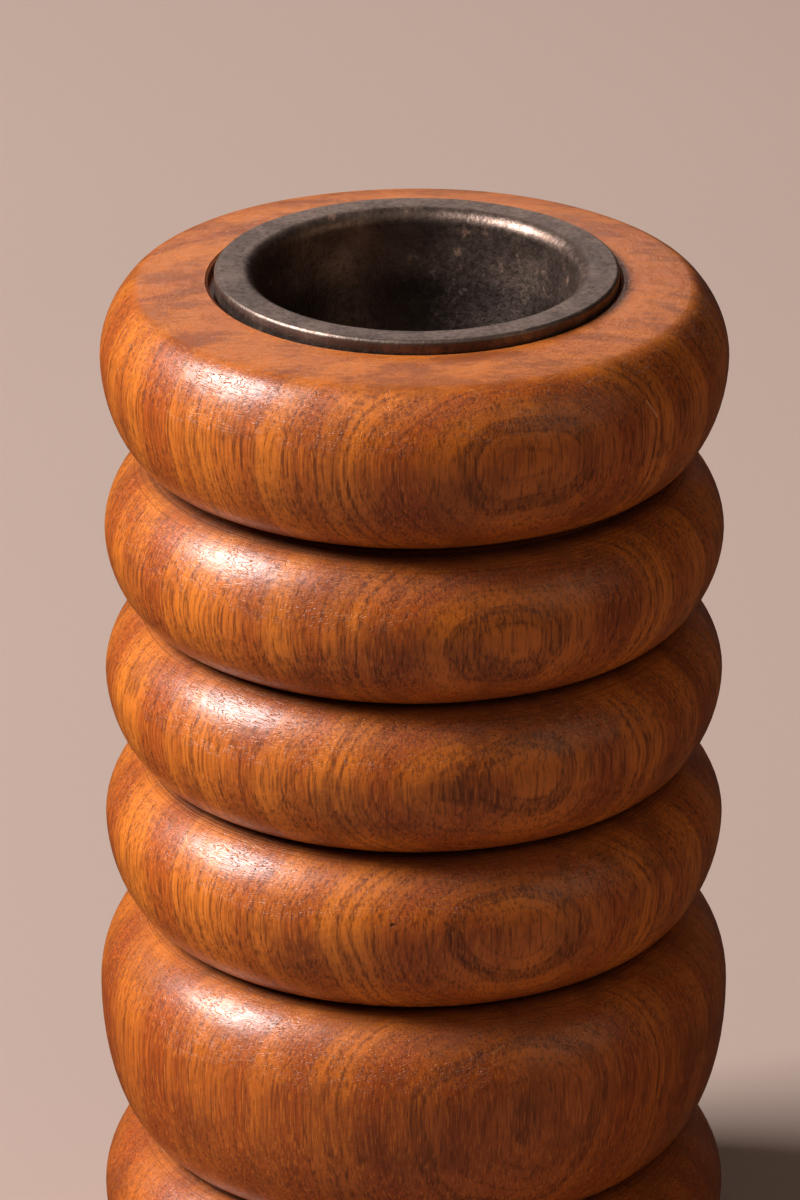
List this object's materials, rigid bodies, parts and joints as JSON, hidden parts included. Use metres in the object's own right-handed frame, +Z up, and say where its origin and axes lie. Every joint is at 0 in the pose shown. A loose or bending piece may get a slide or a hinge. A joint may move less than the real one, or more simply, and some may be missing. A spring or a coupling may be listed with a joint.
{
  "type": "pepper mill",
  "caption": "Short turned-wood pepper mill with a stack of round beads, a head that turns and a loose iron filler cup in its open top.",
  "frame": {"origin": "centre of the foot's flat face, on the axis that the head turns about", "axes": "+Z up along the axis from the foot to the open top; -Y is the side shown in the picture; +X is to the right of it"},
  "size_m": [0.0638, 0.0638, 0.1102],
  "materials": {
    "barrel_wood": "turned hardwood under a satin-gloss clear finish",
    "head_wood": "turned hardwood under a satin-gloss clear finish, rubbed at the shoulder",
    "dark_iron": "dark patinated iron, worn bright at the rim",
    "steel": "plain turned and pressed steel",
    "burr_steel": "hardened steel, dark",
    "brass": "plain turned brass",
    "fibre": "pressed fibre sheet"
  },
  "bodies": {
    "barrel": {"barrel": "barrel_wood", "neck_collar": "brass", "glide_washer": "fibre", "stator_burr": "burr_steel", "bearing_bracket": "steel", "bearing_bush": "brass", "retainer_plate": "steel", "retainer_screw_1": "steel", "retainer_screw_2": "steel", "retainer_screw_3": "steel", "retainer_screw_4": "steel"},
    "head": {"head_ring": "head_wood", "drive_bridge": "steel", "bridge_screw_1": "steel", "bridge_screw_2": "steel", "nut_washer": "steel"},
    "cup": {"filler_cup": "dark_iron"},
    "nut": {"adjusting_nut": "brass"},
    "spindle": {"spindle": "steel", "rotor_burr": "burr_steel", "rotor_washer": "steel", "rotor_nut": "steel", "burr_spring": "steel"}
  },
  "joints": [
    {"name": "head_turn", "type": "hinge", "parent": "barrel", "child": "head", "pos_m": [0, 0, 0.0905], "axis": [0, 0, 1], "continuous": true},
    {"name": "cup_lift", "type": "slide", "parent": "head", "child": "cup", "axis": [0, 0, 1], "range_m": [0, 0.03]},
    {"name": "nut_turn", "type": "hinge", "parent": "head", "child": "nut", "pos_m": [0, 0, 0.091], "axis": [0, 0, -1], "range_deg": [0, 540]},
    {"name": "grind_set", "type": "slide", "parent": "head", "child": "spindle", "axis": [0, 0, 1], "range_m": [0, 0.00105], "deforming": ["burr_spring"]}
  ],
  "couplings": [
    {"joint": "nut_turn", "follows": "grind_set", "rad_per_m": 8976}
  ]
}
